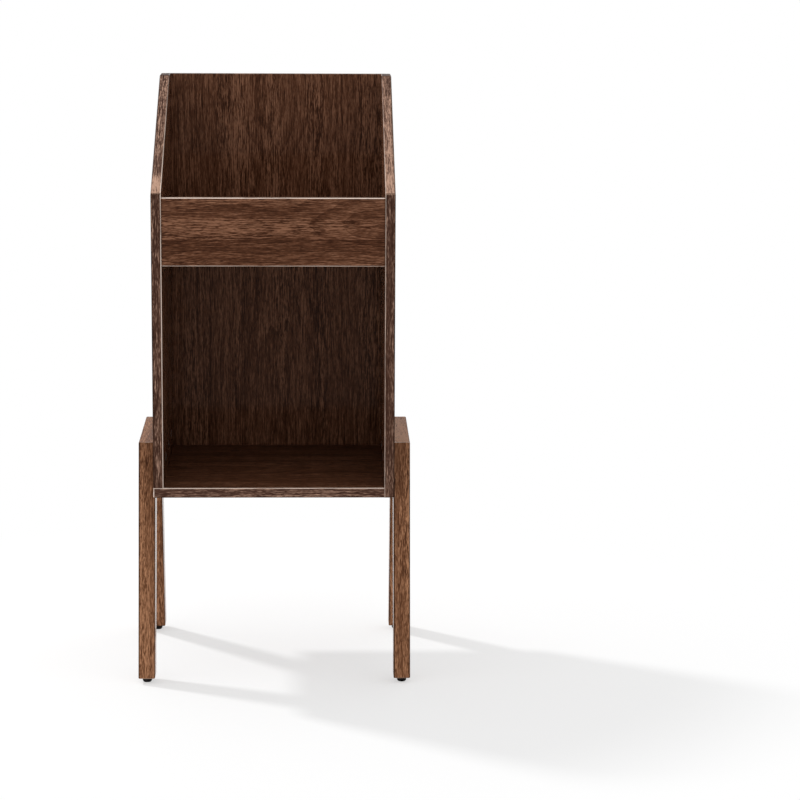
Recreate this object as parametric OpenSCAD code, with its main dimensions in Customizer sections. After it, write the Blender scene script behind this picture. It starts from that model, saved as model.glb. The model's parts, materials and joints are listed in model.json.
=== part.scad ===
// Storage stand: a box body with a sloped bin above an open compartment, bolted
// between two splayed leg frames.
// X runs to the right, Y to the back, Z up. The origin is on the ground, under
// the middle of the stand.

/* [Body] */
// Width across both side panels
body_w = 358; // [345:1:420]
// Depth from the front edges to the back edges
body_d = 335; // [320:1:380]
// Thickness of the side panels, boards and front board
panel_t = 15; // [14:0.5:19]
// Height of the underside of the body above the ground
underside_h = 285; // [220:1:340]
// Clear height of the lower compartment
shelf_clear_h = 332; // [320:1:360]
// Height of the front board of the bin
front_board_h = 101; // [80:1:130]
// Step from the front board up to the foot of the slope
side_lip_h = 6; // [2:0.5:20]
// Rise of the sloped edge of the side panels
slope_rise = 151; // [100:1:190]
// Length of the level top edge behind the slope
top_flat_d = 42; // [20:1:90]

/* [Back panel] */
// Thickness of the back panel
back_t = 6; // [4:0.5:9]
// How far the back panel reaches into each side panel
rebate_w = 8; // [6:0.5:10]
// Gap round the back panel in its rebates
back_gap = 0.5; // [0.2:0.1:1]

/* [Leg frames] */
// Thickness of the legs and top rails
leg_t = 25; // [22:0.5:32]
// How far a leg frame rises beside the body
frame_lap_h = 72; // [62:1:90]
// Length of a leg frame along its top
frame_top_d = 207; // [190:1:235]
// Length of a leg frame at its feet
frame_foot_d = 345; // [300:1:360]
// Width of a leg at its head
leg_head_w = 55; // [50:1:65]
// Width of a leg at its foot
leg_foot_w = 35; // [28:1:45]
// Height of the top rail
rail_h = 50; // [46:1:60]

/* [Glides] */
// Height of the glides under the legs
glide_h = 8; // [6:0.5:14]
// Diameter of a glide at the leg
glide_top_d = 14; // [11:0.5:20]
// Diameter of a glide on the ground
glide_foot_d = 11; // [8:0.5:11]
// Height of the bevel round the foot of a glide
glide_bevel_h = 2; // [0.5:0.5:4]
// Diameter of a glide's nail
nail_d = 2.5; // [2:0.1:3.5]
// Length of nail in the leg
nail_in_leg = 18; // [12:1:26]
// Length of nail in the glide
nail_in_glide = 4.5; // [2:0.5:5]

/* [Frame bolts] */
// Diameter of the bolt shank
bolt_d = 6; // [5:0.5:8]
// Diameter of the low bolt head
bolt_head_d = 15; // [12:0.5:17]
// Height of the bolt head
bolt_head_h = 2.5; // [1.5:0.1:4]
// Gap round the bolt shank in the side panel
bolt_hole_gap = 0.3; // [0.2:0.1:0.6]
// Gap round the bolt head in its counterbore
head_gap = 0.5; // [0.2:0.1:1]
// Width across the flats of the hex socket
socket_af = 4; // [3:0.5:4]
// Depth of the hex socket
socket_depth = 2; // [1:0.1:2.2]
// Length of bolt in the insert
bolt_grip = 12; // [8:0.5:13]
// Diameter of a threaded insert
insert_d = 10; // [9.5:0.5:12]
// Length of a threaded insert
insert_l = 15; // [13.5:0.5:17]
// Depth of the bolt line below the top of a leg frame
bolt_drop = 25; // [18:0.5:30]
// Distance from the outer edge of a leg to its bolt
bolt_edge = 22; // [18:0.5:25]

/* [Dowels] */
// Diameter of the dowels
dowel_d = 8; // [6:0.5:8]
// Depth of a dowel in the face of a board
dowel_in_face = 10; // [7:0.5:11]
// Depth of a dowel in the edge of a board
dowel_in_edge = 20; // [15:0.5:25]
// Depth of a rail dowel in the leg
dowel_in_leg = 15; // [12:0.5:17]
// Distance of the outer dowels from the front and back of the body
dowel_inset = 40; // [36:1:48]
// Distance of the front board's dowels from its edges
front_dowel_inset = 30; // [28:0.5:32]
// Distance of the dowels behind the front board from its middle
floor_dowel_x = 100; // [60:1:120]
// Distance of the rail dowels from the rail's edges
rail_dowel_inset = 14; // [12.5:0.5:16]

/* [Back panel screws] */
// Diameter of a screw shank
screw_d = 3.5; // [3:0.1:4]
// Diameter of a countersunk screw head
screw_head_d = 7; // [6:0.1:7.4]
// Length of a screw from its head
screw_l = 20; // [16:0.5:24]
// Distance of the end screws from the top and bottom of the back panel
screw_end_inset = 40; // [30:1:60]
// Number of screws down each side
screw_side_count = 5; // [3:1:7]
// Distance between the screws along a board
screw_pitch_x = 100; // [70:1:120]

/* [Fits] */
// Gap round dowels, inserts, nails and screws
peg_gap = 0.05; // [0.02:0.01:0.1]
// Gap at the ends of dowels and blind holes
end_gap = 0.5; // [0.2:0.1:0.8]

/* [Hidden] */
$fn = 48;
eps = 1;

// Sides are numbers: -1 is left or front, 1 is right or rear.
left = -1;
right = 1;
front = -1;
rear = 1;

walnut = [0.40, 0.27, 0.19];
walnut_edge = [0.44, 0.31, 0.23];
walnut_leg = [0.50, 0.34, 0.24];
beech = [0.80, 0.65, 0.45];
zinc = [0.75, 0.76, 0.78];
brass = [0.78, 0.62, 0.30];
black = [0.06, 0.06, 0.06];

// Body
body_x = body_w / 2;
body_y = body_d / 2;
inner_x = body_x - panel_t;
inner_w = 2 * inner_x;
back_face_y = body_y - back_t;
front_face_y = -body_y + panel_t;
shelf_z = underside_h + panel_t;
bin_under_z = shelf_z + shelf_clear_h;
bin_floor_z = bin_under_z + panel_t;
front_top_z = bin_under_z + front_board_h;
slope_foot_z = front_top_z + side_lip_h;
body_top_z = slope_foot_z + slope_rise;
body_h = body_top_z - underside_h;

// Leg frames
frame_top_z = underside_h + frame_lap_h;
leg_h = frame_top_z - glide_h;
leg_mid_x = body_x + leg_t / 2;
foot_mid_y = (frame_foot_d - leg_foot_w) / 2;
bolt_z = frame_top_z - bolt_drop;
joint_a = atan((leg_inner_y(glide_h) - leg_inner_y(frame_top_z)) / leg_h);

// Distance from the middle of a leg frame to a leg's outer and inner edge at height z
function leg_outer_y(z) = frame_top_d / 2 + (frame_foot_d - frame_top_d) / 2 * (frame_top_z - z) / leg_h;
function leg_inner_y(z) = leg_outer_y(z) - leg_head_w - (leg_foot_w - leg_head_w) * (frame_top_z - z) / leg_h;

// The bolts of a leg frame along Y: one in each leg's head and one in the rail
leg_bolt_y = leg_outer_y(bolt_z) - bolt_edge;
bolt_ys = [-leg_bolt_y, 0, leg_bolt_y];

// The dowels along the depth of a board
dowel_span = body_d - 2 * dowel_inset;
dowel_ys = [for (i = [0:3]) -dowel_span / 2 + i * dowel_span / 3];
front_dowel_zs = [bin_under_z + front_dowel_inset, front_top_z - front_dowel_inset];
floor_dowel_xs = [-floor_dowel_x, 0, floor_dowel_x];
rail_dowel_drops = [rail_dowel_inset, rail_h - rail_dowel_inset];

// The screws of the back panel
screw_side_x = inner_x + rebate_w / 2;
screw_side_span = body_h - 2 * screw_end_inset;
screw_side_zs = [
  for (i = [0:screw_side_count - 1])
    underside_h + screw_end_inset + i * screw_side_span / (screw_side_count - 1)
];
screw_board_xs = [-screw_pitch_x, 0, screw_pitch_x];
screw_board_zs = [underside_h + panel_t / 2, bin_under_z + panel_t / 2];

// An outline in Y and Z, extruded along X from x0
module slab_yz(points, x0, t) {
  translate([x0, 0, 0])
    rotate([90, 0, 90])
      linear_extrude(height = t)
        polygon(points);
}

// A box from its lowest corner to its highest corner
module block(low, high) {
  translate(low)
    cube(high - low);
}

// A round peg along X through the inner face of a side panel
module x_peg(side, y, z, d, outward, inward) {
  translate([side * inner_x, y, z])
    rotate([0, side * 90, 0])
      translate([0, 0, -inward])
        cylinder(d = d, h = outward + inward);
}

// A round peg along Z through the top of the bottom board
module z_peg(x, y, d, up, down) {
  translate([x, y, shelf_z - down])
    cylinder(d = d, h = up + down);
}

// A round peg along Y through the back of the front board
module y_peg(x, z, d, backward, forward) {
  translate([x, front_face_y - forward, z])
    rotate([-90, 0, 0])
      cylinder(d = d, h = backward + forward);
}

// The dowels of each joint; gap is 0 for the dowels, and positive for their holes
module bottom_joint_pegs(gap, ends) {
  for (y = dowel_ys) {
    z_peg(-body_x + panel_t / 2, y, dowel_d + 2 * gap, dowel_in_edge + ends, dowel_in_face + ends);
    x_peg(right, y, underside_h + panel_t / 2, dowel_d + 2 * gap, dowel_in_face + ends, dowel_in_edge + ends);
  }
}

module bin_floor_pegs(gap, ends) {
  for (side = [left, right], y = dowel_ys)
    x_peg(side, y, bin_under_z + panel_t / 2, dowel_d + 2 * gap, dowel_in_face + ends, dowel_in_edge + ends);
}

module front_board_pegs(gap, ends) {
  for (side = [left, right], z = front_dowel_zs)
    x_peg(side, -body_y + panel_t / 2, z, dowel_d + 2 * gap, dowel_in_face + ends, dowel_in_edge + ends);
  for (x = floor_dowel_xs)
    y_peg(x, bin_under_z + panel_t / 2, dowel_d + 2 * gap, dowel_in_edge + ends, dowel_in_face + ends);
}

// The dowels between a rail and its legs, square to the sloping joints
module frame_pegs(side, gap, ends) {
  for (end = [front, rear], drop = rail_dowel_drops)
    mirror([0, end == front ? 1 : 0, 0])
      translate([side * leg_mid_x, leg_inner_y(frame_top_z - drop), frame_top_z - drop])
        rotate([joint_a - 90, 0, 0])
          translate([0, 0, -dowel_in_edge - ends])
            cylinder(d = dowel_d + 2 * gap, h = dowel_in_edge + dowel_in_leg + 2 * ends);
}

// Clearance holes and counterbores for the frame bolts in a side panel
module bolt_holes(side) {
  for (y = bolt_ys) {
    x_peg(side, y, bolt_z, bolt_d + 2 * bolt_hole_gap, panel_t + eps, eps);
    x_peg(side, y, bolt_z, bolt_head_d + 2 * head_gap, bolt_head_h, eps);
  }
}

// Blind holes for the threaded inserts in a leg frame
module insert_holes(side) {
  for (y = bolt_ys)
    x_peg(side, y, bolt_z, insert_d + 2 * peg_gap, panel_t + insert_l + end_gap, 0);
}

// One screw of the back panel along Y, with its head at the back
module back_screw(x, z, shank, head, length) {
  cone_h = (head - shank) / 2;
  translate([x, body_y, z])
    rotate([90, 0, 0]) {
      cylinder(d = shank, h = length);
      cylinder(d1 = head, d2 = shank, h = cone_h);
    }
}

// All screws of the back panel, or their holes
module back_screws(gap, ends) {
  shank = screw_d + 2 * gap;
  head = screw_head_d + 2 * gap;
  for (side = [left, right], z = screw_side_zs)
    back_screw(side * screw_side_x, z, shank, head, screw_l + ends);
  for (x = screw_board_xs, z = screw_board_zs)
    back_screw(x, z, shank, head, screw_l + ends);
}

// The space of the back panel in the boards round it
module back_rebate() {
  reach = inner_x + rebate_w;
  block([-reach, back_face_y, underside_h - eps], [reach, body_y + eps, body_top_z + eps]);
}

module side_panel(side, foot_z) {
  outline = [
    [-body_y, foot_z],
    [body_y, foot_z],
    [body_y, body_top_z],
    [body_y - top_flat_d, body_top_z],
    [-body_y, slope_foot_z]
  ];
  color(walnut)
    difference() {
      slab_yz(outline, side == left ? -body_x : inner_x, panel_t);
      back_rebate();
      bottom_joint_pegs(peg_gap, end_gap);
      bin_floor_pegs(peg_gap, end_gap);
      front_board_pegs(peg_gap, end_gap);
      back_screws(peg_gap, end_gap);
      bolt_holes(side);
    }
}

// The left side panel stands on the bottom board
module left_side_panel() {
  side_panel(left, shelf_z);
}

// The right side panel runs down past the end of the bottom board
module right_side_panel() {
  side_panel(right, underside_h);
}

module bottom_board() {
  color(walnut)
    difference() {
      block([-body_x, -body_y, underside_h], [inner_x, body_y, shelf_z]);
      back_rebate();
      bottom_joint_pegs(peg_gap, end_gap);
      back_screws(peg_gap, end_gap);
    }
}

module bin_floor() {
  color(walnut)
    difference() {
      block([-inner_x, front_face_y, bin_under_z], [inner_x, back_face_y, bin_floor_z]);
      bin_floor_pegs(peg_gap, end_gap);
      front_board_pegs(peg_gap, end_gap);
      back_screws(peg_gap, end_gap);
    }
}

module front_board() {
  color(walnut)
    difference() {
      block([-inner_x, -body_y, bin_under_z], [inner_x, front_face_y, front_top_z]);
      front_board_pegs(peg_gap, end_gap);
    }
}

module back_panel() {
  reach = inner_x + rebate_w - back_gap;
  color(walnut_edge)
    difference() {
      block([-reach, back_face_y, underside_h], [reach, body_y, body_top_z]);
      back_screws(peg_gap, end_gap);
    }
}

// A leg in outline, from the ground end up, for the rear; the front mirrors it
leg_outline = [
  [leg_outer_y(glide_h), glide_h],
  [leg_outer_y(frame_top_z), frame_top_z],
  [leg_inner_y(frame_top_z), frame_top_z],
  [leg_inner_y(glide_h), glide_h]
];

module leg(side, end) {
  color(walnut_leg)
    difference() {
      mirror([0, end == front ? 1 : 0, 0])
        slab_yz(leg_outline, side == left ? -body_x - leg_t : body_x, leg_t);
      insert_holes(side);
      frame_pegs(side, peg_gap, end_gap);
      glide_nail(side, end, peg_gap, end_gap);
    }
}

module top_rail(side) {
  low_z = frame_top_z - rail_h;
  outline = [
    [-leg_inner_y(low_z), low_z],
    [leg_inner_y(low_z), low_z],
    [leg_inner_y(frame_top_z), frame_top_z],
    [-leg_inner_y(frame_top_z), frame_top_z]
  ];
  color(walnut_leg)
    difference() {
      slab_yz(outline, side == left ? -body_x - leg_t : body_x, leg_t);
      insert_holes(side);
      frame_pegs(side, peg_gap, end_gap);
    }
}

// One nail, from inside its glide up into the leg
module glide_nail(side, end, gap, ends) {
  translate([side * leg_mid_x, end * foot_mid_y, glide_h - nail_in_glide])
    cylinder(d = nail_d + 2 * gap, h = nail_in_glide + nail_in_leg + ends);
}

module glide(side, end) {
  outline = [
    [0, 0],
    [glide_foot_d / 2, 0],
    [glide_top_d / 2, glide_bevel_h],
    [glide_top_d / 2, glide_h],
    [0, glide_h]
  ];
  color(black)
    difference() {
      translate([side * leg_mid_x, end * foot_mid_y, 0])
        rotate_extrude()
          polygon(outline);
      glide_nail(side, end, peg_gap, 0);
    }
}

module glide_nails() {
  color(zinc)
    for (side = [left, right], end = [front, rear])
      glide_nail(side, end, 0, 0);
}

module frame_bolts(side) {
  color(zinc)
    for (y = bolt_ys)
      difference() {
        union() {
          x_peg(side, y, bolt_z, bolt_d, panel_t + bolt_grip, 0);
          x_peg(side, y, bolt_z, bolt_head_d, bolt_head_h, 0);
        }
        translate([side * inner_x, y, bolt_z])
          rotate([0, side * 90, 0])
            translate([0, 0, -eps])
              cylinder(d = socket_af / cos(30), h = socket_depth + eps, $fn = 6);
      }
}

module frame_inserts(side) {
  color(brass)
    for (y = bolt_ys)
      difference() {
        x_peg(side, y, bolt_z, insert_d, panel_t + insert_l, -panel_t);
        x_peg(side, y, bolt_z, bolt_d + 2 * peg_gap, panel_t + insert_l + eps, 0);
      }
}

module left_front_leg() {
  leg(left, front);
}

module left_rear_leg() {
  leg(left, rear);
}

module left_top_rail() {
  top_rail(left);
}

module right_front_leg() {
  leg(right, front);
}

module right_rear_leg() {
  leg(right, rear);
}

module right_top_rail() {
  top_rail(right);
}

module left_front_glide() {
  glide(left, front);
}

module left_rear_glide() {
  glide(left, rear);
}

module right_front_glide() {
  glide(right, front);
}

module right_rear_glide() {
  glide(right, rear);
}

module left_frame_bolts() {
  frame_bolts(left);
}

module right_frame_bolts() {
  frame_bolts(right);
}

module left_frame_inserts() {
  frame_inserts(left);
}

module right_frame_inserts() {
  frame_inserts(right);
}

module left_frame_dowels() {
  color(beech)
    frame_pegs(left, 0, 0);
}

module right_frame_dowels() {
  color(beech)
    frame_pegs(right, 0, 0);
}

module bottom_board_dowels() {
  color(beech)
    bottom_joint_pegs(0, 0);
}

module bin_floor_dowels() {
  color(beech)
    bin_floor_pegs(0, 0);
}

module front_board_dowels() {
  color(beech)
    front_board_pegs(0, 0);
}

module back_panel_screws() {
  color(zinc)
    back_screws(0, 0);
}

left_side_panel();
right_side_panel();
bottom_board();
bin_floor();
front_board();
back_panel();
left_front_leg();
left_rear_leg();
left_top_rail();
right_front_leg();
right_rear_leg();
right_top_rail();
left_front_glide();
left_rear_glide();
right_front_glide();
right_rear_glide();
glide_nails();
left_frame_bolts();
right_frame_bolts();
left_frame_inserts();
right_frame_inserts();
left_frame_dowels();
right_frame_dowels();
bottom_board_dowels();
bin_floor_dowels();
front_board_dowels();
back_panel_screws();
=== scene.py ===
"""A walnut storage stand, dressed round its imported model."""
import json
import math

import bmesh
import bpy
from mathutils import Matrix, Vector
from mathutils.bvhtree import BVHTree

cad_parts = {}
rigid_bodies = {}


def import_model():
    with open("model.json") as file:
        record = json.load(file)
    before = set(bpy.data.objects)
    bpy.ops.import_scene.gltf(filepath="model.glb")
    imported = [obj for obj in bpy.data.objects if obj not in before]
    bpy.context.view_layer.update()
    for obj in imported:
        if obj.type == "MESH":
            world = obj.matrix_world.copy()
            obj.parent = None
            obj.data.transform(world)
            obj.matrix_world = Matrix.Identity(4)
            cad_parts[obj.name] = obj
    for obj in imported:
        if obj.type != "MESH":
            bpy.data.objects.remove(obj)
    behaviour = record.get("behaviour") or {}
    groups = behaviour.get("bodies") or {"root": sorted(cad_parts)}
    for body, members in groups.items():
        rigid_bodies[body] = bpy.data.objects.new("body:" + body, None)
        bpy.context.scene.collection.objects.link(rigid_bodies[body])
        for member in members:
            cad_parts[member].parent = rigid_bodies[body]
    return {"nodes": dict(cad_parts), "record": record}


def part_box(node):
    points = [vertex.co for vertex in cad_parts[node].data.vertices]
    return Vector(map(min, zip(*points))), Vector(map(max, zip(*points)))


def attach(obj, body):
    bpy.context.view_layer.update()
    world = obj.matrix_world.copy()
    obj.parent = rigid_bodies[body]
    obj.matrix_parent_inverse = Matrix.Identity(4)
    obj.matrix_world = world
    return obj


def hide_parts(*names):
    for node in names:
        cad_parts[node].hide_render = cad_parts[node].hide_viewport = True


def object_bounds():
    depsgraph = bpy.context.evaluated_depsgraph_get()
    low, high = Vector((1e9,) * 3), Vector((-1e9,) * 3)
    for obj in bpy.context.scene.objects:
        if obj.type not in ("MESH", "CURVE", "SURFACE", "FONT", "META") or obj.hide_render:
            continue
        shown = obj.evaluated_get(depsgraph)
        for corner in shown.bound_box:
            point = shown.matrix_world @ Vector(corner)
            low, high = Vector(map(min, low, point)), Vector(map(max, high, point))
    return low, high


for leftover in list(bpy.data.objects):
    bpy.data.objects.remove(leftover)

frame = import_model()
cad_low, cad_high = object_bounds()

MM = 0.001
BODY = "root"

UP = Vector((0, 0, 1))
ACROSS = Vector((1, 0, 0))
BACK = Vector((0, 1, 0))
LEFT, RIGHT = -ACROSS, ACROSS

slots = {row["node"]: row["material_slot"] for row in frame["record"]["subparts"]}


# ---------------------------------------------------------------- shader groups

class Graph:
    """Adds nodes to a node tree from left to right."""

    def __init__(self, tree):
        self.tree = tree

    def node(self, kind, **settings):
        made = self.tree.nodes.new(kind)
        for name, value in settings.items():
            setattr(made, name, value)
        return made

    def first(self, kind):
        """The node of a kind that the tree came with."""
        return next(node for node in self.tree.nodes if node.type == kind)

    def wire(self, value, socket):
        """Sets a socket to a plain value, or links another node's output to it."""
        if isinstance(value, bpy.types.NodeSocket):
            self.tree.links.new(value, socket)
        else:
            socket.default_value = value

    def math(self, operation, a, b=0.0, clamp=False):
        made = self.node("ShaderNodeMath", operation=operation, use_clamp=clamp)
        self.wire(a, made.inputs[0])
        self.wire(b, made.inputs[1])
        return made.outputs[0]

    def add(self, a, b):
        return self.math("ADD", a, b)

    def minus(self, a, b, clamp=False):
        return self.math("SUBTRACT", a, b, clamp)

    def times(self, a, b, clamp=False):
        return self.math("MULTIPLY", a, b, clamp)

    def noise(self, vector, stretch, detail=2.0, roughness=0.5):
        """Noise from 0 to 1 over a vector that is stretched first."""
        stretched = self.node("ShaderNodeVectorMath", operation="MULTIPLY")
        self.wire(vector, stretched.inputs[0])
        self.wire(stretch, stretched.inputs[1])
        made = self.node("ShaderNodeTexNoise")
        self.wire(stretched.outputs["Vector"], made.inputs["Vector"])
        made.inputs["Scale"].default_value = 1.0
        made.inputs["Detail"].default_value = detail
        made.inputs["Roughness"].default_value = roughness
        return made.outputs["Fac"]

    def swing(self, vector, stretch, detail=2.0, roughness=0.5):
        """The same noise from -0.5 to 0.5."""
        return self.minus(self.noise(vector, stretch, detail, roughness), 0.5)

    def ramp(self, value, low, high):
        """0 below low, 1 above high, and smooth between them."""
        made = self.node("ShaderNodeMapRange", interpolation_type="SMOOTHSTEP")
        self.wire(value, made.inputs["Value"])
        made.inputs["From Min"].default_value = low
        made.inputs["From Max"].default_value = high
        return made.outputs["Result"]

    def blend(self, factor, a, b):
        """The colour a at 0, the colour b at 1."""
        made = self.node("ShaderNodeMix", data_type="RGBA")
        self.wire(factor, made.inputs[0])
        self.wire(a, made.inputs[6])
        self.wire(b, made.inputs[7])
        return made.outputs[2]

    def attribute(self, name, output):
        return self.node("ShaderNodeAttribute", attribute_name=name).outputs[output]

    def bump(self, shader, height, strength, distance):
        """Raises and sinks a shader's surface by a height."""
        made = self.node("ShaderNodeBump")
        made.inputs["Strength"].default_value = strength
        made.inputs["Distance"].default_value = distance
        self.wire(height, made.inputs["Height"])
        self.wire(made.outputs[0], shader.inputs["Normal"])


SOCKET_TYPES = {
    float: "NodeSocketFloat",
    3: "NodeSocketVector",
    4: "NodeSocketColor",
}


def new_group(name, inputs, outputs):
    """An empty shader group; inputs are its defaults by name, outputs are kinds by name."""
    tree = bpy.data.node_groups.new(name, "ShaderNodeTree")
    for label, default in inputs.items():
        kind = SOCKET_TYPES[float if isinstance(default, float) else len(default)]
        socket = tree.interface.new_socket(name=label, in_out="INPUT", socket_type=kind)
        socket.default_value = default
    for label, kind in outputs.items():
        tree.interface.new_socket(name=label, in_out="OUTPUT", socket_type=SOCKET_TYPES[kind])
    graph = Graph(tree)
    return graph, graph.node("NodeGroupInput").outputs, graph.node("NodeGroupOutput").inputs


# Rings: how far the heart of the log wanders, and how a ring darkens to its late wood
HEART_WANDER = 0.05         # metres, sideways
HEART_TAPER = 0.12          # metres, into the wood
RING_JITTER = 0.9           # ring widths
LATE_WOOD_POWER = 2.0
LATE_WOOD_MEAN = 0.33

# Streaks: how far each noise takes the tone, where 1 is the whole way to the light colour
BROAD_SHARE = 2.0
FINE_SHARE = 6.8
FLECK_SHARE = 3.5
SLOW_SHARE = 1.3
QUIET_STREAKS = 0.7         # strength of the streaks in quiet wood
LIVELY_STREAKS = 0.8        # and how much lively wood adds to it
LIVELY_LIFT = 0.15
PORE_DARKNESS = 0.75
FINE_ROUGHNESS = 0.4


def make_grain_group():
    """Figure, streaks and pores of a board; the grain vector runs along, across and into the wood."""
    graph, given, out = new_group(
        "Wood grain",
        {
            "Grain": (0.0, 0.0, 0.0),
            "Tone": 0.0,
            "Dark": (0.04, 0.02, 0.01, 1.0),
            "Middle": (0.1, 0.05, 0.03, 1.0),
            "Light": (0.2, 0.11, 0.07, 1.0),
            "Ring width": 0.007,
            "Figure": 1.0,
            "Streaks": 1.0,
            "Flecks": 1.0,
            "Pores": 1.0,
        },
        {"Color": 4, "Roughness": float, "Height": float},
    )
    grain = given["Grain"]
    parts = graph.node("ShaderNodeSeparateXYZ")
    graph.wire(grain, parts.inputs[0])

    # Rings round the heart of the log, which wanders and tapers
    wander = graph.times(graph.swing(grain, stretch=(1.8, 5.0, 5.0)), HEART_WANDER)
    taper = graph.times(graph.noise(grain, stretch=(2.6, 1.0, 1.0), detail=1.0), HEART_TAPER)
    across = graph.add(parts.outputs[1], wander)
    deep = graph.add(parts.outputs[2], taper)
    radius = graph.math("SQRT", graph.add(graph.times(across, across), graph.times(deep, deep)))
    jitter = graph.times(graph.noise(grain, stretch=(2.0, 40.0, 40.0)), RING_JITTER)
    rings = graph.add(graph.math("DIVIDE", radius, given["Ring width"]), jitter)
    late_wood = graph.math("POWER", graph.math("FRACT", rings), LATE_WOOD_POWER)
    figure = graph.times(graph.minus(late_wood, LATE_WOOD_MEAN), given["Figure"])

    # Streaks and flecks along the grain, stronger where the wood is lively
    slow = graph.swing(grain, stretch=(2.2, 34.0, 34.0))
    broad = graph.swing(grain, stretch=(6.0, 640.0, 640.0), roughness=0.6)
    fine = graph.swing(grain, stretch=(40.0, 950.0, 950.0), roughness=0.7)
    short = graph.swing(grain, stretch=(150.0, 900.0, 900.0), detail=1.0, roughness=0.6)
    lively = graph.ramp(graph.noise(grain, stretch=(1.6, 21.0, 21.0)), low=0.5, high=0.64)
    streaks = graph.add(graph.times(broad, BROAD_SHARE), graph.times(fine, FINE_SHARE))
    streaks = graph.times(streaks, given["Streaks"])
    flecks = graph.times(short, graph.times(given["Flecks"], FLECK_SHARE))
    strength = graph.add(QUIET_STREAKS, graph.times(lively, LIVELY_STREAKS))
    streaks = graph.times(graph.add(streaks, flecks), strength)
    slow = graph.add(graph.times(slow, SLOW_SHARE), graph.times(lively, LIVELY_LIFT))
    tone = graph.add(slow, graph.minus(streaks, figure))
    tone = graph.add(tone, given["Tone"])

    dashes = graph.noise(grain, stretch=(85.0, 820.0, 820.0), detail=1.0)
    pores = graph.times(graph.ramp(dashes, low=0.6, high=0.7), given["Pores"], clamp=True)

    toned = graph.blend(graph.times(tone, 1.0, clamp=True), given["Middle"], given["Light"])
    toned = graph.blend(graph.times(tone, -1.0, clamp=True), toned, given["Dark"])
    toned = graph.blend(graph.times(pores, PORE_DARKNESS), toned, given["Dark"])
    graph.wire(toned, out["Color"])
    graph.wire(graph.add(graph.times(fine, FINE_ROUGHNESS), pores), out["Roughness"])
    graph.wire(graph.minus(fine, pores), out["Height"])
    return graph.tree


# Edges: how far an arris takes its colours at most, that is pale wear with a painted highlight,
# painted shade and a painted shadow line, and a pale one where it is least worn and least highlit
PALEST, FULLEST_PAINTED_SHADE, FULLEST_PAINTED_SHADOW = 1.0, 0.65, 0.85
LEAST_WEAR_AND_HIGHLIGHT = 0.15


def make_edge_group():
    """Eased edges: pale where crisp, partly wear and partly a painted highlight; a deeper tone of
    painted shade where soft; and a painted shadow line, darker still, where marked.
    """
    graph, given, out = new_group(
        "Edge wear and painted light",
        {
            "Color": (0.1, 0.05, 0.03, 1.0),
            "Pale": (0.7, 0.6, 0.52, 1.0),
            "Deep": (0.045, 0.03, 0.024, 1.0),
            "Stain": (0.01, 0.005, 0.003, 1.0),
            "Arris": 0.0,
            "Grain": (0.0, 0.0, 0.0),
        },
        {"Color": 4},
    )
    # Pale arrises are partly wear and partly a painted highlight, in patches along the grain
    patches = graph.noise(given["Grain"], stretch=(9.0, 30.0, 30.0), detail=4.0, roughness=0.65)
    worn = graph.times(graph.ramp(patches, low=0.3, high=0.48), PALEST - LEAST_WEAR_AND_HIGHLIGHT)
    pale = graph.times(given["Arris"], graph.add(LEAST_WEAR_AND_HIGHLIGHT, worn), clamp=True)
    # Painted shade on soft arrises, and past a mark of -1 a painted shadow line
    deep = graph.times(given["Arris"], -1.0, clamp=True)
    painted_shadow = graph.minus(graph.times(given["Arris"], -1.0), 1.0, clamp=True)
    toned = graph.blend(graph.times(deep, FULLEST_PAINTED_SHADE), given["Color"], given["Deep"])
    toned = graph.blend(graph.times(painted_shadow, FULLEST_PAINTED_SHADOW), toned, given["Stain"])
    graph.wire(graph.blend(pale, toned, given["Pale"]), out["Color"])
    return graph.tree


def make_handling_group():
    """Faint smears and dust in a finish: changes its roughness a little over the surface."""
    graph, given, out = new_group(
        "Handling marks",
        {"Place": (0.0, 0.0, 0.0), "Base": 0.4, "Amount": 0.08, "Detail": 0.0},
        {"Roughness": float, "Dust": float},
    )
    smears = graph.swing(given["Place"], stretch=(7.0, 7.0, 11.0), detail=5.0, roughness=0.6)
    specks = graph.noise(given["Place"], stretch=(420.0, 420.0, 420.0), detail=1.0)
    smear = graph.times(smears, given["Amount"])
    graph.wire(graph.add(given["Base"], graph.add(smear, given["Detail"])), out["Roughness"])
    graph.wire(graph.ramp(specks, low=0.66, high=0.74), out["Dust"])
    return graph.tree


GRAIN_GROUP = make_grain_group()
EDGE_GROUP = make_edge_group()
HANDLING_GROUP = make_handling_group()


# ---------------------------------------------------------------- materials

# Arris colours: the pale one is partly wear and partly a painted highlight, the deep one is painted
# shade on rounded edges, and the darkest is a painted shadow line on outer arrises
PALE_WORN_AND_HIGHLIT_ARRIS = (1.0, 0.83, 0.72)
PAINTED_SHADE_ARRIS = (0.034, 0.02, 0.014)
PAINTED_SHADOW_ARRIS = (0.007, 0.0025, 0.0014)

# Lacquer: nearly matt, with a thin coat that shines where flat wood is seen at a grazing angle
LACQUER_SPECULAR = 0.02
COAT_LEAST = 0.06
COAT_GRAZING = 0.5
COAT_ROUGHNESS = 0.1
GRAZING = (0.86, 0.95)
COATLESS_ARRIS = 1 / 3
GRAIN_ROUGHNESS = 0.12

METAL_SHADE = 0.72          # of its tint, in the dull clouds
SCUFF_PALENESS = 0.5
SCUFF_ROUGHNESS = 0.2
DUST_COVER = 0.3
PLASTIC_SPECULAR = 0.15


def new_material(name):
    material = bpy.data.materials.new(name)
    material.use_nodes = True
    graph = Graph(material.node_tree)
    return material, graph, graph.first("BSDF_PRINCIPLED")


def use_group(graph, tree, **values):
    """Places a group; names use _ for the spaces in its inputs."""
    made = graph.node("ShaderNodeGroup", node_tree=tree)
    for name, value in values.items():
        graph.wire(value, made.inputs[name.replace("_", " ")])
    return made.outputs


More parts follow.
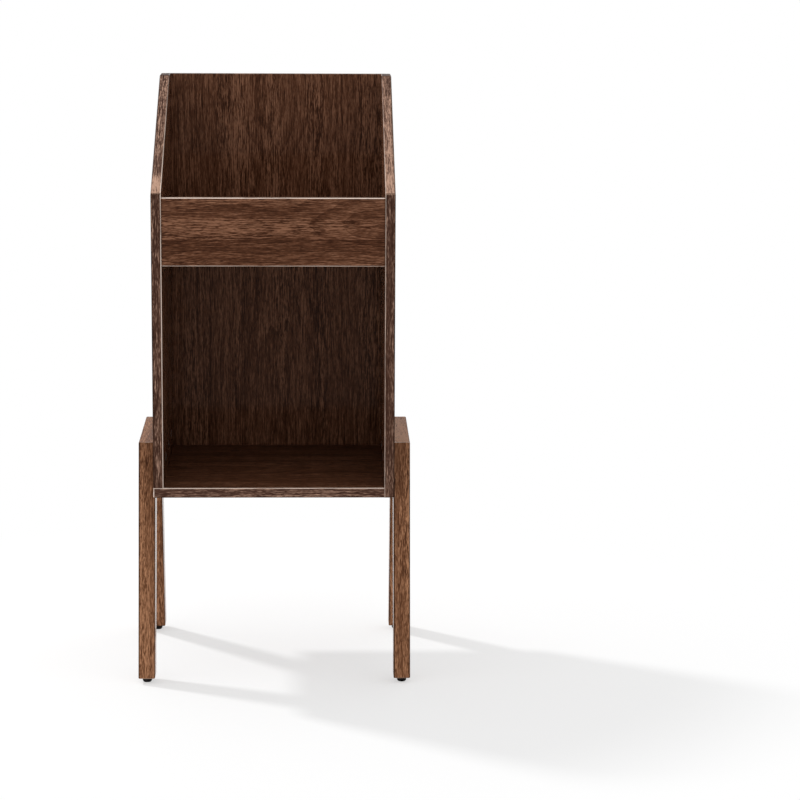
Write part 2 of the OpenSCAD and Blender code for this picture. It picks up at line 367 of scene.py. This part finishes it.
def wood(name, dark, middle, light, ring, figure, streaks, flecks, pores=1.0, roughness=0.42):
    """A lacquered wood; colours are linear red, green, blue, and ring is a ring's width in mm."""
    material, graph, shader = new_material(name)
    grain = graph.attribute("grain", "Vector")
    arris = graph.attribute("arris", "Fac")
    tone = graph.attribute("tone", "Fac")
    place = graph.node("ShaderNodeTexCoord").outputs["Object"]
    board = use_group(
        graph, GRAIN_GROUP,
        Grain=grain, Tone=tone, Dark=(*dark, 1), Middle=(*middle, 1), Light=(*light, 1),
        Ring_width=ring * MM, Figure=figure, Streaks=streaks, Flecks=flecks, Pores=pores,
    )
    # Arrises take pale wear with a painted highlight, painted shade and a painted shadow line
    edged = use_group(
        graph, EDGE_GROUP,
        Color=board["Color"], Pale=(*PALE_WORN_AND_HIGHLIT_ARRIS, 1), Deep=(*PAINTED_SHADE_ARRIS, 1),
        Stain=(*PAINTED_SHADOW_ARRIS, 1), Arris=arris, Grain=grain,
    )
    detail = graph.times(board["Roughness"], GRAIN_ROUGHNESS)
    finish = use_group(graph, HANDLING_GROUP, Place=place, Base=roughness, Amount=0.12, Detail=detail)
    graph.wire(edged["Color"], shader.inputs["Base Color"])
    graph.wire(finish["Roughness"], shader.inputs["Roughness"])
    shader.inputs["Specular IOR Level"].default_value = LACQUER_SPECULAR

    glance = graph.ramp(graph.node("ShaderNodeLayerWeight").outputs["Facing"], *GRAZING)
    rounded = graph.times(graph.math("ABSOLUTE", arris), 1 / COATLESS_ARRIS)
    level = graph.minus(1.0, rounded, clamp=True)
    coat = graph.add(COAT_LEAST, graph.times(glance, COAT_GRAZING))
    graph.wire(graph.times(coat, level), shader.inputs["Coat Weight"])
    shader.inputs["Coat Roughness"].default_value = COAT_ROUGHNESS
    graph.bump(shader, board["Height"], strength=0.35, distance=0.12 * MM)
    return material


def metal(name, tint, roughness, scratch):
    """A plated or turned metal with fine cloudy marks."""
    material, graph, shader = new_material(name)
    place = graph.node("ShaderNodeTexCoord").outputs["Object"]
    clouds = graph.noise(place, stretch=(260.0, 260.0, 260.0), detail=5.0, roughness=0.65)
    lines = graph.noise(place, stretch=(200.0, 2600.0, 2600.0))
    detail = graph.times(graph.minus(lines, 0.5), scratch)
    finish = use_group(graph, HANDLING_GROUP, Place=place, Base=roughness, Amount=0.2, Detail=detail)
    shade = tuple(METAL_SHADE * part for part in tint)
    toned = graph.blend(graph.ramp(clouds, low=0.3, high=0.7), (*shade, 1), (*tint, 1))
    graph.wire(toned, shader.inputs["Base Color"])
    graph.wire(finish["Roughness"], shader.inputs["Roughness"])
    shader.inputs["Metallic"].default_value = 1.0
    graph.bump(shader, lines, strength=0.2, distance=0.03 * MM)
    return material


def moulded_plastic(name, tint, worn, dust):
    """The glides' hard plastic: a fine moulded texture, scuffs and a little dust."""
    material, graph, shader = new_material(name)
    place = graph.node("ShaderNodeTexCoord").outputs["Object"]
    texture = graph.noise(place, stretch=(1500.0, 1500.0, 1500.0), detail=3.0, roughness=0.6)
    scuffs = graph.noise(place, stretch=(350.0, 350.0, 90.0), detail=4.0, roughness=0.7)
    scuff = graph.ramp(scuffs, low=0.5, high=0.75)
    detail = graph.times(scuff, SCUFF_ROUGHNESS)
    finish = use_group(graph, HANDLING_GROUP, Place=place, Base=0.48, Amount=0.2, Detail=detail)
    toned = graph.blend(graph.times(scuff, SCUFF_PALENESS), (*tint, 1), (*worn, 1))
    toned = graph.blend(graph.times(finish["Dust"], DUST_COVER), toned, (*dust, 1))
    graph.wire(toned, shader.inputs["Base Color"])
    graph.wire(finish["Roughness"], shader.inputs["Roughness"])
    shader.inputs["Specular IOR Level"].default_value = PLASTIC_SPECULAR
    graph.bump(shader, texture, strength=0.4, distance=0.05 * MM)
    return material


VENEER = wood(
    "Walnut veneer", dark=(0.034, 0.0105, 0.004), middle=(0.104, 0.039, 0.0185),
    light=(0.27, 0.127, 0.072), ring=9.0, figure=0.5, streaks=0.95, flecks=0.65,
)
EDGE_BAND = wood(
    "Walnut edge band", dark=(0.03, 0.011, 0.006), middle=(0.084, 0.038, 0.024),
    light=(0.54, 0.33, 0.235), ring=5.0, figure=0.1, streaks=0.7, flecks=0.65,
)
LEG_WOOD = wood(
    "Walnut leg", dark=(0.06, 0.02, 0.008), middle=(0.165, 0.067, 0.03),
    light=(0.46, 0.226, 0.118), ring=9.0, figure=0.4, streaks=0.6, flecks=0.6,
)
BEECH = wood(
    "Beech dowel", dark=(0.42, 0.27, 0.15), middle=(0.56, 0.39, 0.23),
    light=(0.66, 0.48, 0.3), ring=3.0, figure=0.3, streaks=0.4, flecks=0.3, pores=0.4, roughness=0.6,
)
ZINC = metal("Zinc plated steel", tint=(0.47, 0.48, 0.5), roughness=0.36, scratch=0.3)
BRASS = metal("Turned brass", tint=(0.78, 0.58, 0.27), roughness=0.3, scratch=0.4)
GLIDE_BLACK = moulded_plastic(
    "Moulded black plastic", tint=(0.004, 0.003, 0.003), worn=(0.016, 0.014, 0.013),
    dust=(0.08, 0.075, 0.07),
)


# ---------------------------------------------------------------- solids and their arrises

# Eased edges: soft on most arrises, crisp where the pale lines of wear and painted highlight run
SOFT_EASE = 2.0 * MM
CRISP_EASE = 1.2 * MM
EASE_STEPS = 3
RUN_OUT = 4 * MM             # where an eased edge dies away to a square one
SHORTEST_ARRIS = 3.5 * MM
TOUCH = 2.5 * MM             # nearer than this, an edge lies on its neighbour
MERGE = 0.005 * MM
TINY = 0.05 * MM
SHARP_ANGLE = math.radians(25)
CREASE_ANGLE = math.radians(50)
FLAT_ANGLE = math.radians(0.5)

# Marks: what a face's arris value says, and the parts of its normal that decide it
EASED = 2                    # the material slot that tells the faces of an eased edge
# Painted shade on a rounded edge; added to a side's own dark mark below the slope, it gives a painted
# shadow line
PAINTED_SHADE_MARK = -1.0
HALF_PAINTED_SHADE_MARK = -0.45       # on the faces of an eased edge that lie nearly flat
LEAST_MARK = 0.15
CRISP_MARK = 0.35
NEARLY_FLAT = 0.85
FRONT_OR_SLOPE = 0.2         # a face that turns further to the front, or up on the slope, is marked
FULL_TURN = 1 / 3            # how far a face turns to a marked side before it is marked in full
LEAST_TURN = 0.22            # more than the lean of a leg's front, less than an arris's first step

SLOPE_FOOT_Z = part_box("front_board")[1].z
SLOPE_TOP_Z = cad_high.z


def clean_solid(node):
    """A CAD node's solid with its flat faces whole again."""
    mesh = bmesh.new()
    mesh.from_mesh(frame["nodes"][node].data)
    bmesh.ops.remove_doubles(mesh, verts=mesh.verts, dist=MERGE)
    bmesh.ops.dissolve_limit(mesh, angle_limit=FLAT_ANGLE, verts=mesh.verts, edges=mesh.edges)
    return mesh


def edge_middle(edge):
    return (edge.verts[0].co + edge.verts[1].co) / 2


def arrises(mesh, joined):
    """The long sharp edges of a solid, apart from those on a glued joint with another node."""
    neighbours = []
    for node in joined:
        other = clean_solid(node)
        neighbours.append(BVHTree.FromBMesh(other))
        other.free()
    found = []
    for edge in mesh.edges:
        if not edge.is_manifold or edge.calc_length() < SHORTEST_ARRIS:
            continue
        if edge.calc_face_angle() < SHARP_ANGLE:
            continue
        if any(tree.find_nearest(edge_middle(edge))[3] < TOUCH for tree in neighbours):
            continue
        found.append(edge)
    return found


def cut_level(mesh, height):
    """Cuts edges across a solid at a height, so that an eased edge can stop there."""
    everything = mesh.verts[:] + mesh.edges[:] + mesh.faces[:]
    bmesh.ops.bisect_plane(mesh, geom=everything, plane_co=(0, 0, height), plane_no=UP)


def side_mark(normal, middle, marked_sides):
    """The mark of an arris of the front or a slope for the way it looks: -1 is a painted shadow line,
    1 is pale wear with a painted highlight.
    """
    faces_front = normal.y <= -FRONT_OR_SLOPE
    on_slope = normal.z >= FRONT_OR_SLOPE and middle.z >= SLOPE_FOOT_Z
    if not faces_front and not on_slope:
        return 0.0
    marks = [0.0]
    for side, weight in marked_sides:
        turn = normal.dot(side)
        if turn > LEAST_TURN:
            marks.append(min(1.0, turn / FULL_TURN) * weight)
    return max(marks, key=abs)


def arris_mark(face, marked_sides):
    """Up to 1 on a pale arris of wear and painted highlight, down to -1 on one with painted shade and
    to -2 on one with a painted shadow line; 0 on flat wood.
    """
    if face.material_index != EASED:
        return 0.0
    middle = face.calc_center_median()
    mark = side_mark(face.normal, middle, marked_sides)
    if mark > LEAST_MARK:
        return mark
    if mark < -LEAST_MARK and middle.z < SLOPE_FOOT_Z:
        return mark + PAINTED_SHADE_MARK
    nearly_flat = max(abs(part) for part in face.normal) >= NEARLY_FLAT
    return HALF_PAINTED_SHADE_MARK if nearly_flat else PAINTED_SHADE_MARK


def ease(mesh, joined, marked_sides):
    """Rounds the arrises over, crisply where pale, and puts the new faces on slot EASED."""
    weights = mesh.edges.layers.float.new("bevel_weight_edge")
    for edge in arrises(mesh, joined):
        outward = (edge.link_faces[0].normal + edge.link_faces[1].normal).normalized()
        crisp = side_mark(outward, edge_middle(edge), marked_sides) > CRISP_MARK
        edge[weights] = CRISP_EASE / SOFT_EASE if crisp else 1.0
    data = bpy.data.meshes.new("rough")
    mesh.to_mesh(data)
    mesh.free()
    for slot in range(EASED + 1):
        data.materials.append(None)
    rough = bpy.data.objects.new("rough", data)
    bpy.context.scene.collection.objects.link(rough)
    rounding = rough.modifiers.new("Eased edges", "BEVEL")
    rounding.limit_method = "WEIGHT"
    rounding.width = SOFT_EASE
    rounding.segments = EASE_STEPS
    rounding.use_clamp_overlap = False
    rounding.material = EASED
    rounded = rough.evaluated_get(bpy.context.evaluated_depsgraph_get())
    finished = bpy.data.meshes.new_from_object(rounded)
    bpy.data.objects.remove(rough)
    eased = bmesh.new()
    eased.from_mesh(finished)
    eased.normal_update()
    return eased


# ---------------------------------------------------------------- grain

# Boards: changes of tone, on a scale where 1 is the whole way to the light colour
# A painted highlight: the foot of each slope is toned lighter than the rest of it
SLOPE_FOOT_HIGHLIGHT_TONE = 0.75
SLOPE_TOP_TONES = (-0.18, 0.26)      # left, right
SLOPE_CUT_SHARES = (0.13, 0.2)       # shares of the slope's height, where its foot's tone ends
SLOPE_LIGHT_END = 0.16               # between the two
TOP_TONE = -0.3
TOP_MARK = -0.6
SEAM_SHARE = 0.39                    # the front board's seam, as a share of its height
LEAF_SHIFT = Vector((0.9, 0.0, 0.0))
UPPER_LEAF_TONES = (-0.1, 0.12)      # away from the seam, at the seam
LOWER_LEAF_TONES = (-0.1, -0.42)
PALE_AT_GROUND = 0.4                 # how much of a pale line there would be as low as the ground
PALE_AT_TOP = 0.1                    # and how much there is at the top of the slope
FRAME_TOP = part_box("left_top_rail")[1].z
FOOT_TONE = 0.22

# How far the normal of a wide face, of a slope and of a leg's top turns to its side or up
WIDE_FACE = 0.8
SLOPE_TILTS = (0.5, 0.95)
LEG_TOP = 0.8


def wood_layers(mesh):
    """The three things that each corner tells the wood: its place, its arris and its tone."""
    mesh.loops.layers.float_vector.new("grain")
    mesh.loops.layers.float.new("arris")
    mesh.loops.layers.float.new("tone")
    floats = mesh.loops.layers.float
    return mesh.loops.layers.float_vector["grain"], floats["arris"], floats["tone"]


def grain_place(spot, axes, shift):
    """Where a point of a board lay in its log: along, across and into the grain."""
    return Vector([spot.dot(axis) for axis in axes]) + shift


def pale_share(height):
    """How much of a side panel's pale line of wear and painted highlight there is at a height; it is
    full where the slope starts.
    """
    if height > SLOPE_FOOT_Z:
        fading = 1 - (height - SLOPE_FOOT_Z) / (SLOPE_TOP_Z - SLOPE_FOOT_Z)
    else:
        fading = 1 + (1 - PALE_AT_GROUND) * (height - SLOPE_FOOT_Z) / SLOPE_FOOT_Z
    return max(PALE_AT_TOP, fading)


def lay_board_grain(mesh, along, through, shift, tone, marked_sides, seam=None):
    """Veneer on a board's wide faces, in two leaves if it has a seam, and bands along its edges."""
    grain, arris, shade = wood_layers(mesh)
    for face in mesh.faces:
        normal = face.normal
        mark = arris_mark(face, marked_sides)
        band = abs(normal.dot(through)) < WIDE_FACE
        sloped = band and SLOPE_TILTS[0] < normal.z < SLOPE_TILTS[1]
        level_top = band and normal.z > SLOPE_TILTS[1]
        leaves = seam is not None and not band
        lower_leaf = leaves and face.calc_center_median().z < seam
        axes = (along, through.cross(along), through)
        if band:
            axes = (through.cross(normal).normalized(), through, normal)
        face_shift = shift + (LEAF_SHIFT if lower_leaf else Vector())
        face.material_index = 1 if band else 0
        face.smooth = True
        for loop in face.loops:
            spot = loop.vert.co
            loop[grain] = grain_place(spot, axes, face_shift)
            loop[arris] = mark * pale_share(spot.z) if mark > 0 and along is UP else mark
            if level_top and not mark:
                loop[arris] = TOP_MARK
            loop[shade] = tone + (TOP_TONE if level_top else 0.0)
            if leaves:
                leaf_tones = LOWER_LEAF_TONES if lower_leaf else UPPER_LEAF_TONES
                loop[shade] += leaf_tones[abs(spot.z - seam) < TOUCH]
            # The foot of a slope takes the painted highlight's tone, the rest each side's own top tone
            if sloped:
                rise = (spot.z - SLOPE_FOOT_Z) / (SLOPE_TOP_Z - SLOPE_FOOT_Z)
                top_tone = SLOPE_TOP_TONES[spot.x > 0]
                loop[shade] = SLOPE_FOOT_HIGHLIGHT_TONE if rise < SLOPE_LIGHT_END else top_tone


def lay_leg_grain(mesh, along, shift, tone, top_shift, top_tone, marked_sides=()):
    """Solid wood that is lighter at the foot, with one strip of figure along the tops of a frame."""
    grain, arris, shade = wood_layers(mesh)
    for face in mesh.faces:
        mark = arris_mark(face, marked_sides)
        top = face.normal.z > LEG_TOP
        axes = (BACK, UP, ACROSS) if top else (along, ACROSS.cross(along), ACROSS)
        face.material_index = 0
        face.smooth = True
        for loop in face.loops:
            spot = loop.vert.co
            loop[grain] = grain_place(spot, axes, top_shift if top else shift)
            loop[arris] = mark
            # A frame's top takes its top tone, which on the right frame is painted light
            loop[shade] = top_tone if top else tone + FOOT_TONE * (1 - spot.z / FRAME_TOP)


# ---------------------------------------------------------------- boards and leg frames

def new_piece(name, mesh, materials):
    """An object of the scene from a finished mesh, with its materials."""
    data = bpy.data.meshes.new(name)
    mesh.to_mesh(data)
    mesh.free()
    for material in materials:
        data.materials.append(material)
    piece = bpy.data.objects.new(name, data)
    bpy.context.scene.collection.objects.link(piece)
    return piece


def stand_in(piece, node):
    """Puts a piece in the place of its CAD node."""
    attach(piece, BODY)
    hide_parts(node)


def on_run_out(face, stop_height):
    """Whether a face lies in the short length where an eased edge runs out to a square one."""
    return all(-TINY < stop_height - vert.co.z < RUN_OUT + TINY for vert in face.verts)


def eased_piece(node, finish, lay, marked_sides=(), joined=(), cuts=(), stop_height=None):
    """A wooden piece in the shape of its CAD node, with its edges rounded over and its grain laid."""
    mesh = clean_solid(node)
    if stop_height is not None:
        cuts = (stop_height, stop_height - RUN_OUT)
    for height in cuts:
        cut_level(mesh, height)
    mesh.normal_update()
    mesh = ease(mesh, joined, marked_sides)
    lay(mesh)
    for edge in mesh.edges:
        edge.smooth = not edge.is_manifold or edge.calc_face_angle() < CREASE_ANGLE
    for face in mesh.faces:
        if stop_height is not None and on_run_out(face, stop_height):
            for edge in face.edges:
                edge.smooth = False
    piece = new_piece(node + "_eased", mesh, finish)
    steady = piece.modifiers.new("Even shading", "WEIGHTED_NORMAL")
    steady.keep_sharp = True
    steady.weight = 100
    stand_in(piece, node)


# Each board: its grain, the way through it, where it lay in its log, its tone and its marked sides,
# whose arrises take pale wear with a painted highlight for a weight above 0, and painted shade and a
# painted shadow line for one below 0
BOARDS = {
    "left_side_panel": (UP, ACROSS, (0.31, 0.04, 0.17), -0.35, [(RIGHT, 1.0), (LEFT, -0.7)]),
    "right_side_panel": (UP, ACROSS, (1.67, -0.05, -0.17), -0.13, [(LEFT, 0.48), (RIGHT, -0.7)]),
    "bottom_board": (ACROSS, UP, (3.2, 0.02, -0.3), -0.04, [(UP, 0.8), (LEFT, 1.0)]),
    "bin_floor": (ACROSS, UP, (4.4, 0.0, -0.64), 0.0, []),
    "front_board": (ACROSS, BACK, (5.3, 0.695, 0.16), 0.0, [(UP, 1.0), (-UP, 0.5)]),
    "back_panel": (UP, BACK, (4.6, 0.01, -0.16), 0.0, [(UP, 0.4)]),
}
# Joints that show an eased edge, where the first board meets the second
OPEN_JOINTS = [("front_board", "left_side_panel"), ("front_board", "right_side_panel")]

# Each frame: where its wood lay in its log and the tone of its top, raised on the right as painted
# light from above where the body shades it from the lamp; each leg: tone and marked sides
FRAMES = {
    "left": (8.0, 0.22),
    "right": (9.5, 0.95),
}
LEGS = {
    "left_front_leg": (0.12, [(UP, 0.4), (-UP, 0.3), (LEFT, -0.3)]),
    "left_rear_leg": (-0.02, []),
    "right_front_leg": (0.12, [(UP, 0.4), (-UP, 0.3), (LEFT, -0.4)]),
    "right_rear_leg": (0.0, []),
}
LEG_LOG_STEP = 0.4           # metres along the log, to the front and to the rear leg
HEAD_MIDDLE = 10 * MM        # half the width of a leg's head, less half that of its foot


def make_board(board):
    """A board with its veneer and edge bands; its edges stay square where it is glued to another."""
    along, through, log_place, tone, marked_sides = BOARDS[board]
    seam, cuts = None, ()
    if board.endswith("side_panel"):
        cuts = [SLOPE_FOOT_Z + share * (SLOPE_TOP_Z - SLOPE_FOOT_Z) for share in SLOPE_CUT_SHARES]
    if board == "front_board":
        foot, head = (corner.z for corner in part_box(board))
        seam = foot + SEAM_SHARE * (head - foot)
        cuts = (seam,)

    def lay(mesh):
        lay_board_grain(mesh, along, through, Vector(log_place), tone, marked_sides, seam)
    glued = [other for other in BOARDS if other != board and (board, other) not in OPEN_JOINTS]
    eased_piece(board, (VENEER, EDGE_BAND), lay, marked_sides, joined=glued, cuts=cuts)


def leg_axis(end):
    """The direction up the middle of a leg; end is -1 at the front and 1 at the rear."""
    low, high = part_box("left_rear_leg")
    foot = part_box("left_rear_glide")
    foot_y = (foot[0].y + foot[1].y) / 2
    head_y = low.y + (high.y - foot_y) / 2 + HEAD_MIDDLE
    return Vector((0, end * (head_y - foot_y), high.z - low.z)).normalized()


def make_frame(side):
    """A leg frame: its top rail and two legs, whose eased edges stop under the rail."""
    log_place, top_tone = FRAMES[side]
    shift = Vector((log_place, 0.0, 0.0))
    rail = side + "_top_rail"
    panel = side + "_side_panel"
    legs = (side + "_front_leg", side + "_rear_leg")
    under_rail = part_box(rail)[0].z

    def lay_rail(mesh):
        lay_leg_grain(mesh, BACK, shift, 0.0, shift, top_tone)
    eased_piece(rail, (LEG_WOOD,), lay_rail, joined=(*legs, panel))
    for leg, end in zip(legs, (-1, 1)):
        tone, marked_sides = LEGS[leg]

        def lay_leg(mesh):
            leg_shift = shift + Vector((LEG_LOG_STEP * end, 0, 0))
            lay_leg_grain(mesh, leg_axis(end), leg_shift, tone, shift, top_tone, marked_sides)
        joined = (rail, panel)
        eased_piece(leg, (LEG_WOOD,), lay_leg, marked_sides, joined, stop_height=under_rail)


for board in BOARDS:
    make_board(board)
for side in FRAMES:
    make_frame(side)


# ---------------------------------------------------------------- screws and small pieces

HEAD_POINTS = 32
RECESS_REACH, RECESS_HALF, RECESS_DEPTH = 1.9 * MM, 0.42 * MM, 1.2 * MM
RECESS_TAPER = 0.6
TIP_START = 0.8              # share of a screw's length
TIP_TAPER = 0.2
SCREW_TURN = 37              # degrees from each screw's recess to the next one's


def screw_places(node):
    """Each screw's head middle, head and shank radius, and length, read from the CAD node's solids."""
    mesh = clean_solid(node)
    left_over = set(mesh.verts)
    places = []
    while left_over:
        found, to_visit = set(), [left_over.pop()]
        while to_visit:
            vert = to_visit.pop()
            found.add(vert)
            near = {edge.other_vert(vert) for edge in vert.link_edges} & left_over
            left_over -= near
            to_visit += near
        spots = [vert.co.copy() for vert in found]
        low = Vector([min(spot[axis] for spot in spots) for axis in range(3)])
        high = Vector([max(spot[axis] for spot in spots) for axis in range(3)])
        middle_x, middle_z = (low.x + high.x) / 2, (low.z + high.z) / 2
        head = (high.x - low.x) / 2
        shank = max(abs(spot.x - middle_x) for spot in spots if spot.y < low.y + MM)
        places.append((Vector((middle_x, high.y, middle_z)), head, shank, high.y - low.y))
    mesh.free()
    return sorted(places, key=lambda place: (place[0].z, place[0].x))


def ring(mesh, middle, radius, depth):
    """A ring of vertices round a screw's axis, at a depth below its head."""
    made = []
    for step in range(HEAD_POINTS):
        angle = 2 * math.pi * step / HEAD_POINTS
        spot = Vector((radius * math.cos(angle), -depth, radius * math.sin(angle)))
        made.append(mesh.verts.new(middle + spot))
    return made


def cross(mesh, middle, reach, half, depth, turn):
    """The twelve corners of a cross recess, at a depth below the head."""
    made = []
    for quarter in range(4):
        spin = Matrix.Rotation(turn + quarter * math.pi / 2, 2)
        for spot in ((reach, -half), (reach, half), (half, half)):
            across, up = spin @ Vector(spot)
            made.append(mesh.verts.new(middle + Vector((across, -depth, up))))
    return made


def loop_edges(mesh, verts):
    return [mesh.edges.new((a, b)) for a, b in zip(verts, verts[1:] + verts[:1])]


def join_rings(mesh, upper, lower):
    """Faces between two rings of the same number of vertices."""
    for step in range(len(upper)):
        after = (step + 1) % len(upper)
        mesh.faces.new((upper[step], upper[after], lower[after], lower[step]))


def make_screws(node):
    """Countersunk screws with a cross recess, each turned its own way."""
    mesh = bmesh.new()
    for count, (middle, head, shank, length) in enumerate(screw_places(node)):
        turn = math.radians(SCREW_TURN * count)
        rim = ring(mesh, middle, head, 0.0)
        opening = cross(mesh, middle, RECESS_REACH, RECESS_HALF, 0.0, turn)
        outlines = loop_edges(mesh, rim) + loop_edges(mesh, opening)
        bmesh.ops.triangle_fill(mesh, use_beauty=True, use_dissolve=False, edges=outlines)
        floor_reach, floor_half = RECESS_REACH * RECESS_TAPER, RECESS_HALF * RECESS_TAPER
        floor = cross(mesh, middle, floor_reach, floor_half, RECESS_DEPTH, turn)
        join_rings(mesh, opening, floor)
        mesh.faces.new(floor)
        under = ring(mesh, middle, shank, head - shank)
        join_rings(mesh, rim, under)
        foot = ring(mesh, middle, shank, TIP_START * length)
        join_rings(mesh, under, foot)
        tip = ring(mesh, middle, shank * TIP_TAPER, length)
        join_rings(mesh, foot, tip)
        mesh.faces.new(tip)
    bmesh.ops.recalc_face_normals(mesh, faces=mesh.faces)
    stand_in(new_piece(node + "_driven", mesh, (ZINC,)), node)


make_screws("back_panel_screws")

# Small pieces that keep their CAD shape, by material slot
NODE_FINISH = {
    "zinc_steel": ZINC,
    "brass_insert": BRASS,
    "beech_dowel": BEECH,
    "black_glide": GLIDE_BLACK,
}
for name, node in frame["nodes"].items():
    if slots[name] in NODE_FINISH:
        node.data.materials.clear()
        node.data.materials.append(NODE_FINISH[slots[name]])


# ---------------------------------------------------------------- floor, light and camera

# Floor: a share of plain white in what the camera sees, and all of it far away
FLOOR_REACH = 60.0
FLOOR_TONES = ((0.915, 0.915, 0.915), (0.925, 0.925, 0.925))
FLOOR_ROUGHNESS = 0.9
FLOOR_WHITE = 0.53
FADE_START, FADE_END = 0.6, 0.95

# Light: one lamp high behind the left, soft light all round
LAMP_AT = Vector((-3.66, 2.64, 4.86))
LAMP_AIM = Vector((0.0, 0.0, 0.45))
LAMP_WATTS = 225.0
LAMP_WIDTH = 0.6
SKY_STRENGTH = 0.8
BACKGROUND_WHITE = 1.0

# Camera, from a fit of the stand's edges to the photograph, 800 pixels square; angles in degrees
PHOTO_PX = 800
FOCAL_PX = 2962.3
SENSOR_MM = 36.0
CAMERA_AT = (62.0 * MM, -4476.9 * MM, 1226.6 * MM)
CAMERA_DOWN = 10.430
CAMERA_RIGHT = 1.657
CAMERA_ROLL = 0.291
NEAREST_SEEN = 0.1


def make_floor():
    """The floor keeps the stand's shadow; the camera sees it fade to plain white further off."""
    bpy.ops.mesh.primitive_grid_add(x_subdivisions=4, y_subdivisions=4, size=2 * FLOOR_REACH)
    floor = bpy.context.object
    floor.name = "studio_floor"
    material, graph, shader = new_material("Pale studio floor")
    place = graph.node("ShaderNodeTexCoord").outputs["Object"]
    clouds = graph.ramp(graph.noise(place, stretch=(1.5, 1.5, 1.5), detail=3.0), low=0.3, high=0.7)
    darker, lighter = FLOOR_TONES
    graph.wire(graph.blend(clouds, (*darker, 1), (*lighter, 1)), shader.inputs["Base Color"])
    shader.inputs["Roughness"].default_value = FLOOR_ROUGHNESS
    shader.inputs["Specular IOR Level"].default_value = 0.0
    away = graph.node("ShaderNodeVectorMath", operation="LENGTH")
    graph.wire(place, away.inputs[0])
    fade = graph.ramp(away.outputs["Value"], FADE_START, FADE_END)
    share = graph.add(FLOOR_WHITE, graph.times(fade, 1 - FLOOR_WHITE))
    seen = graph.node("ShaderNodeLightPath").outputs["Is Camera Ray"]
    white = graph.node("ShaderNodeEmission")
    both = graph.node("ShaderNodeMixShader")
    graph.wire(graph.times(share, seen), both.inputs[0])
    graph.wire(shader.outputs[0], both.inputs[1])
    graph.wire(white.outputs[0], both.inputs[2])
    graph.wire(both.outputs[0], graph.first("OUTPUT_MATERIAL").inputs["Surface"])
    floor.data.materials.append(material)


def make_light():
    lamp = bpy.data.lights.new("key_lamp", "AREA")
    lamp.shape = "DISK"
    lamp.size = LAMP_WIDTH
    lamp.energy = LAMP_WATTS
    holder = bpy.data.objects.new("key_lamp", lamp)
    holder.location = LAMP_AT
    holder.rotation_euler = (LAMP_AIM - LAMP_AT).to_track_quat("-Z", "Y").to_euler()
    bpy.context.scene.collection.objects.link(holder)

    world = bpy.data.worlds.new("soft_light")
    bpy.context.scene.world = world
    world.use_nodes = True
    graph = Graph(world.node_tree)
    sky = graph.first("BACKGROUND")
    path = graph.node("ShaderNodeLightPath").outputs
    through = graph.math("MAXIMUM", path["Is Glossy Ray"], path["Is Transmission Ray"])
    seen = graph.math("MAXIMUM", path["Is Camera Ray"], through)
    extra = graph.times(seen, BACKGROUND_WHITE - SKY_STRENGTH)
    sky.inputs["Color"].default_value = (1, 1, 1, 1)
    graph.wire(graph.add(extra, SKY_STRENGTH), sky.inputs["Strength"])


def make_camera():
    lens = bpy.data.cameras.new("photo_camera")
    lens.sensor_width = SENSOR_MM
    lens.lens = FOCAL_PX / PHOTO_PX * SENSOR_MM
    lens.clip_start = NEAREST_SEEN
    lens.clip_end = 4 * FLOOR_REACH
    camera = bpy.data.objects.new("photo_camera", lens)
    turn = Matrix.Rotation(math.radians(-CAMERA_RIGHT), 4, "Z")
    tilt = Matrix.Rotation(math.radians(90 - CAMERA_DOWN), 4, "X")
    roll = Matrix.Rotation(math.radians(CAMERA_ROLL), 4, "Z")
    camera.matrix_world = Matrix.Translation(CAMERA_AT) @ turn @ tilt @ roll
    bpy.context.scene.collection.objects.link(camera)
    bpy.context.scene.camera = camera


make_floor()
make_light()
make_camera()
bpy.context.scene.view_settings.view_transform = "Standard"
